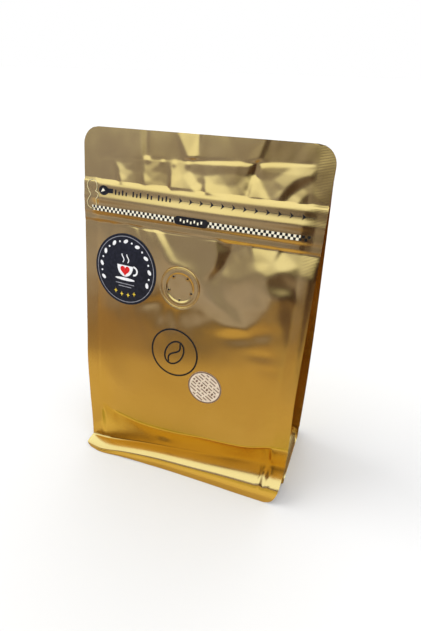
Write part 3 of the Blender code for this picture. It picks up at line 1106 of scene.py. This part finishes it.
LABEL_BLACK = printed("label_black", (0.008, 0.009, 0.012), (0.014, 0.015, 0.020), 0.40)
LABEL_WHITE = printed("label_white", (0.74, 0.74, 0.74), (0.84, 0.84, 0.84), 0.5)
LABEL_GREY = printed("label_grey", (0.22, 0.22, 0.24), (0.32, 0.32, 0.34), 0.5)
LABEL_RED = printed("label_red", (0.55, 0.008, 0.010), (0.68, 0.015, 0.016), 0.45)
LABEL_YELLOW = printed("label_yellow", (0.72, 0.50, 0.035), (0.84, 0.62, 0.06), 0.45)


def heart(x, y, size):
    points = []
    for k in range(32):
        t = 2 * math.pi * k / 32
        wide = 16 * math.sin(t) ** 3
        tall = 13 * math.cos(t) - 5 * math.cos(2 * t) - 2 * math.cos(3 * t) - math.cos(4 * t)
        points.append((-wide / 32, tall / 32))
    return shape(points, x, y, size)


def dark_label():
    x, y, radius = DARK_LABEL
    round_sheet("dark_label_sheet", DARK_LABEL, label_out, 28, 128, LABEL_BLACK, "dark_label",
                LABEL_STOCK)
    print_piece("label_ring", [hoop(x, y, 1.87 * radius, 0.35)], LABEL_GREY, label_out, 0.05)
    # A garland of beans and dots over the top, where the wording would be
    white = []
    for k in range(17):
        angle = 90 + 14.2 * (k - 8)
        px, py = around(DARK_LABEL, 0.79 * radius, angle)
        if k % 2 == 0:
            white.append(oval(px, py, 3.1, 1.9, angle - 60))
        else:
            white.append(oval(px, py, 1.1, 1.1, sides=14))
    # A cup and its saucer
    bowl = [(-5.2, 2.6)]
    for k in range(13):
        t = math.pi + math.pi * k / 12
        bowl.append((5.2 * math.cos(t), 2.2 + 6.0 * math.sin(t)))
    bowl.append((5.2, 2.6))
    white.append(shape(bowl, x, y))
    white.append(line([around((x + 5.6, y + 0.2), 2.3, angle) for angle in range(-95, 96, 10)], 1.0))
    white.append(oval(x, y - 5.2, 13.0, 1.7, sides=40))
    for side in (-1.6, 1.6):
        steam = [(x + side + 0.7 * math.sin(k / 2.2), y + 4.2 + 0.42 * k) for k in range(12)]
        white.append(line(steam, 0.6))
    print_piece("label_cup", white, LABEL_WHITE, label_out, 0.05)
    print_piece("label_heart", [heart(x, y - 0.2, 6.2)], LABEL_RED, label_out, 0.09)
    lines = [plate(x, y - 8.0, 12.5, 0.45, cuts=(12, 1)), plate(x, y - 9.6, 8.5, 0.45, cuts=(9, 1))]
    print_piece("label_lines", lines, LABEL_GREY, label_out, 0.05)
    spark = ((1.25, 0), (0.32, 0.32), (0, 1.45), (-0.32, 0.32), (-1.25, 0), (-0.32, -0.32), (0, -1.45),
             (0.32, -0.32))
    sparks = [shape(spark, *around(DARK_LABEL, 0.72 * radius, 270 + 17 * (k - 1.5))) for k in range(4)]
    print_piece("label_sparks", sparks, LABEL_YELLOW, label_out, 0.06)


dark_label()


# ---------------------------------------------------------------- the small pale label

LABEL_CREAM = printed("label_cream", (0.66, 0.54, 0.40), (0.76, 0.64, 0.50), 0.6, 900.0)
LABEL_BROWN = printed("label_brown", (0.150, 0.085, 0.055), (0.200, 0.120, 0.080), 0.6)
ROW_PITCH = 1.9


def pale_label():
    """Rows of plain dashes, with a row of dots through the middle, inside a brown rim."""
    x, y, radius = PALE_LABEL
    round_sheet("pale_label_sheet", PALE_LABEL, label_out, 14, 96, LABEL_CREAM, "pale_label",
                LABEL_STOCK)
    brown = [hoop(x, y, 2 * radius - 0.1, 0.75)]
    turn = -32.0
    c, s = turned(turn)
    for row in range(-4, 5):
        tall = ROW_PITCH * row
        half = math.sqrt(max((radius - 1.3) ** 2 - tall ** 2, 0))
        wide = -half + 0.5 * (row % 3)
        k = 0
        while row != 0 and wide < half - 0.6:
            dash = min(1.8 + 0.8 * ((k * 7 + row * 3) % 4), half - wide)
            mid = wide + dash / 2
            brown.append(plate(x + mid * c - tall * s, y + mid * s + tall * c, dash, 0.66, turn=turn))
            wide += dash + 1.0
            k += 1
    for k in range(-4, 5):
        tall = 1.9 if k % 2 else 1.2
        brown.append(oval(x + ROW_PITCH * k * c, y + ROW_PITCH * k * s, 1.2, tall, turn, sides=12))
    print_piece("pale_label_print", brown, LABEL_BROWN, label_out, 0.09)


pale_label()


# ---------------------------------------------------------------- floor, light and camera

def stage_plane(name, low, high, mat):
    bpy.ops.mesh.primitive_plane_add(size=1.0)
    obj = bpy.context.active_object
    obj.name = name
    for vertex in obj.data.vertices:
        vertex.co.x = low[0] if vertex.co.x < 0 else high[0]
        vertex.co.y = low[1] if vertex.co.y < 0 else high[1]
    obj.data.materials.append(mat)
    return obj


def floor_paint():
    n = Nodes("pale_floor")
    colour = n.mix(n.noise(n.here, 3.0), (0.81, 0.81, 0.81, 1), (0.83, 0.83, 0.83, 1))
    return n.surface(Base_Color=colour, Roughness=1.0, Specular_IOR_Level=0.0)


stage_plane("floor", (-4, -4), (4, 4), floor_paint())


def soft_sun(name, way, strength, spread):
    """A broad even light from a direction, for the floor, the labels and the soft shadows."""
    bpy.ops.object.light_add(type="SUN", location=(0, 0, 1))
    lamp = bpy.context.active_object
    lamp.name = name
    lamp.data.energy = strength
    lamp.data.angle = math.radians(spread)
    lamp.rotation_euler = Vector(way).to_track_quat("-Z", "Y").to_euler()
    lamp.visible_camera = False
    lamp.visible_glossy = False


soft_sun("left_light", (0.80, 0.15, -0.60), 1.25, 45)
soft_sun("rear_light", (0.10, -0.70, -0.70), 0.35, 45)

# What the film sees around it, as light of these colours
COOL = (0.40, 0.52, 1.70, 1)
ROOM = (0.44, 0.57, 1.90, 1)
GLOW = (1.75, 2.60, 6.40, 1)
BROWN = (0.22, 0.19, 0.42, 1)
DARK = (0.07, 0.05, 0.09, 1)
DUSK = (0.15, 0.13, 0.15, 1)
PALE = (0.85, 0.90, 1.00, 1)
# Painted shade on the floor at the right, as the film sees it; the brown one also tints a patch of the room
# behind the right side
PAINTED_SIDE_SHADE = (0.24, 0.17, 0.02, 1)
SIDE_BROWN = (0.27, 0.20, 0.03, 1)
REAR_GLOW = (1.90, 3.00, 8.00, 1)
# Painted gold reflection on the floor in front, and a painted highlight along its edge nearest to the bag
PAINTED_GOLD_BOUNCE = (0.64, 0.74, 0.10, 1)
PAINTED_EDGE_HIGHLIGHT = (1.30, 1.38, 1.25, 1)
# The floor as the film sees it: white near the bag, and painted shade further out
FLOOR_NEAR = (0.93, 0.90, 0.87, 1)
PAINTED_FLOOR_SHADE = (0.53, 0.45, 0.50, 1)

# The edge of a folding card that stands in front, as places on the floor
CARD_EDGE = ((-1.0, 0.2), (-1.0, -0.35), (-0.85, -0.72), (-0.45, -0.475), (-0.10, -0.265), (-0.02, -0.37),
             (0.035, -0.62), (0.065, -0.32), (0.11, -0.20), (0.5, -0.14))
CARD_HIGH = 0.20
TENT = 3.0                  # radius of the tent round the set


def seen_by_film_only(obj):
    """Cards and the tent show in the film's reflections and nowhere else."""
    obj.visible_camera = False
    obj.visible_shadow = False
    obj.visible_diffuse = False


def glowing(n, colour):
    """A surface that gives off light of a colour and reflects none."""
    return n.surface(Base_Color=(0, 0, 0, 1), Specular_IOR_Level=0.0, Emission_Color=colour,
                     Emission_Strength=1.0)


def front_card():
    """A folding card in front: blue-grey, with a dark foot at the left and a brown and dark right side."""
    folds = len(CARD_EDGE) - 1
    card = flat_grid(folds, 1)
    card.name = "front_card"
    for vertex in card.data.vertices:
        x, y = CARD_EDGE[round((vertex.co.x + 0.5) * folds)]
        vertex.co = (x, y, 0.0 if vertex.co.y < 0 else CARD_HIGH)
    n = Nodes("grey_card")
    x, _, z = n.split(n.here)
    cloth = n.mix(n.ramp(z, 0.09, 0.13), tuple(1.8 * v for v in COOL), COOL)
    dusky = n.mix(n.ramp(x, -0.60, -0.30), cloth, DUSK)
    cloth = n.mix(n.ramp(z, 0.03, 0.07), dusky, cloth)
    dark = n.mix(n.ramp(z, 0.07, 0.11), BROWN, DARK)
    right = n.mix(n.ramp(x, 0.035, 0.06), BROWN, dark)
    right = n.mix(n.ramp(z, 0.02, 0.045), PALE, right)
    cloth = n.mix(n.ramp(x, 0.0, 0.03), cloth, right)
    card.data.materials.append(glowing(n, cloth))
    seen_by_film_only(card)


def tent():
    """The room round the set: blue-grey, brown at the right, dark in front, bright overhead and behind."""
    bpy.ops.mesh.primitive_uv_sphere_add(segments=48, ring_count=24, radius=TENT)
    obj = bpy.context.active_object
    obj.name = "tent"
    obj.data.flip_normals()
    n = Nodes("tent_cloth")
    way = n.add("ShaderNodeVectorMath", operation="NORMALIZE")
    n.put(way.inputs[0], n.here)
    way = way.outputs["Vector"]
    room = n.mix(n.toward(way, (1.0, -0.35, -0.1), 90, 72), ROOM, BROWN)
    room = n.mix(n.toward(way, (0.55, -0.85, -0.05), 50, 36), room, DARK)
    high = n.ramp(n.split(way)["Z"], 0.27, 0.41)
    side = n.math("SUBTRACT", 1.0, n.toward(way, (1.0, -0.15, 0.0), 62, 40))
    room = n.mix(n.math("MULTIPLY", high, side), room, GLOW)
    for place, far, near, colour in (
        ((-0.25, 0.75, 0.60), 50, 30, REAR_GLOW),
        ((0.44, 0.90, 0.0), 15, 8, SIDE_BROWN),
        ((1.0, 0.05, 0.22), 36, 16, PALE),
    ):
        room = n.mix(n.toward(way, place, far, near), room, colour)
    obj.data.materials.append(glowing(n, room))
    seen_by_film_only(obj)


def lying_card(name, low, high, paint):
    """A card that lies on the floor and shows in the film only."""
    n = Nodes(name + "_face")
    card = stage_plane(name, low, high, glowing(n, paint(n)))
    for vertex in card.data.vertices:
        vertex.co.z = 0.0004
    seen_by_film_only(card)


def painted_gold_bounce(n):
    """Painted reflection: a patchy gold glow standing in for the gold light the bag throws on the floor in
    front, with a painted highlight along the edge nearest to the bag.
    """
    tone = n.ramp(n.noise(n.here, 18.0), 0.35, 0.65)
    gold = n.mix(tone, tuple(0.8 * v for v in PAINTED_GOLD_BOUNCE), tuple(1.2 * v for v in PAINTED_GOLD_BOUNCE))
    return n.mix(n.ramp(n.split(n.here)["Y"], FOOT * MM - 0.024, FOOT * MM - 0.017), gold, PAINTED_EDGE_HIGHLIGHT)


def painted_side_shade(n):
    """Painted shade on the floor at the right, as the film sees it: dark gold near the bag and brown further
    back.
    """
    return n.mix(n.ramp(n.split(n.here)["Y"], 0.05, 0.15), PAINTED_SIDE_SHADE, SIDE_BROWN)


def painted_floor_shade(n):
    """Painted shade on the floor as the film sees it: white near the bag, and dusky further out and to the
    left.
    """
    x, y, _ = n.split(n.here)
    out = n.math("MULTIPLY", y, -1.0)
    far = n.ramp(n.math("MULTIPLY_ADD", x, -0.9, out), 0.26, 0.44)
    right = n.math("MULTIPLY", n.ramp(x, 0.0, 0.03), n.ramp(out, 0.25, 0.30))
    return n.mix(n.math("MAXIMUM", far, right), FLOOR_NEAR, PAINTED_FLOOR_SHADE)


def white_world():
    world = bpy.data.worlds.new("studio")
    world.use_nodes = True
    background = world.node_tree.nodes["Background"]
    background.inputs["Color"].default_value = (1, 1, 1, 1)
    bpy.context.scene.world = world


front_card()
tent()
# Painted gold reflection on the floor in front, seen only in the film
lying_card("gold_bounce_card", (-0.075, FOOT * MM - 0.038), (0.075, FOOT * MM - 0.006), painted_gold_bounce)
# Painted shade on the floor further out, seen only in the film
lying_card("floor_shade_card", (-0.60, -0.60), (0.30, -0.12), painted_floor_shade)
# Painted shade on the floor at the right, seen only in the film
lying_card("side_shade_card", (0.070, -0.02), (0.40, 0.18), painted_side_shade)
white_world()

# The camera stands in front, a little to the right, and looks down at the bag
CAMERA_AT = Vector((0.0868, FOOT * MM - 0.1597, 0.2295))
CAMERA_WAY = Vector((-0.3152, 0.7873, -0.5299))
CAMERA_ROLL = math.radians(0.45)
CAMERA_LENS = 24.8

camera_data = bpy.data.cameras.new("camera")
camera_data.lens = CAMERA_LENS
camera_data.sensor_width = 36.0
camera_data.clip_start = 0.01
camera = bpy.data.objects.new("camera", camera_data)
bpy.context.scene.collection.objects.link(camera)
facing = CAMERA_WAY.to_track_quat("-Z", "Y").to_matrix().to_4x4()
camera.matrix_world = Matrix.Translation(CAMERA_AT) @ facing @ Matrix.Rotation(CAMERA_ROLL, 4, "Z")
bpy.context.scene.camera = camera
bpy.context.scene.view_settings.view_transform = "Standard"
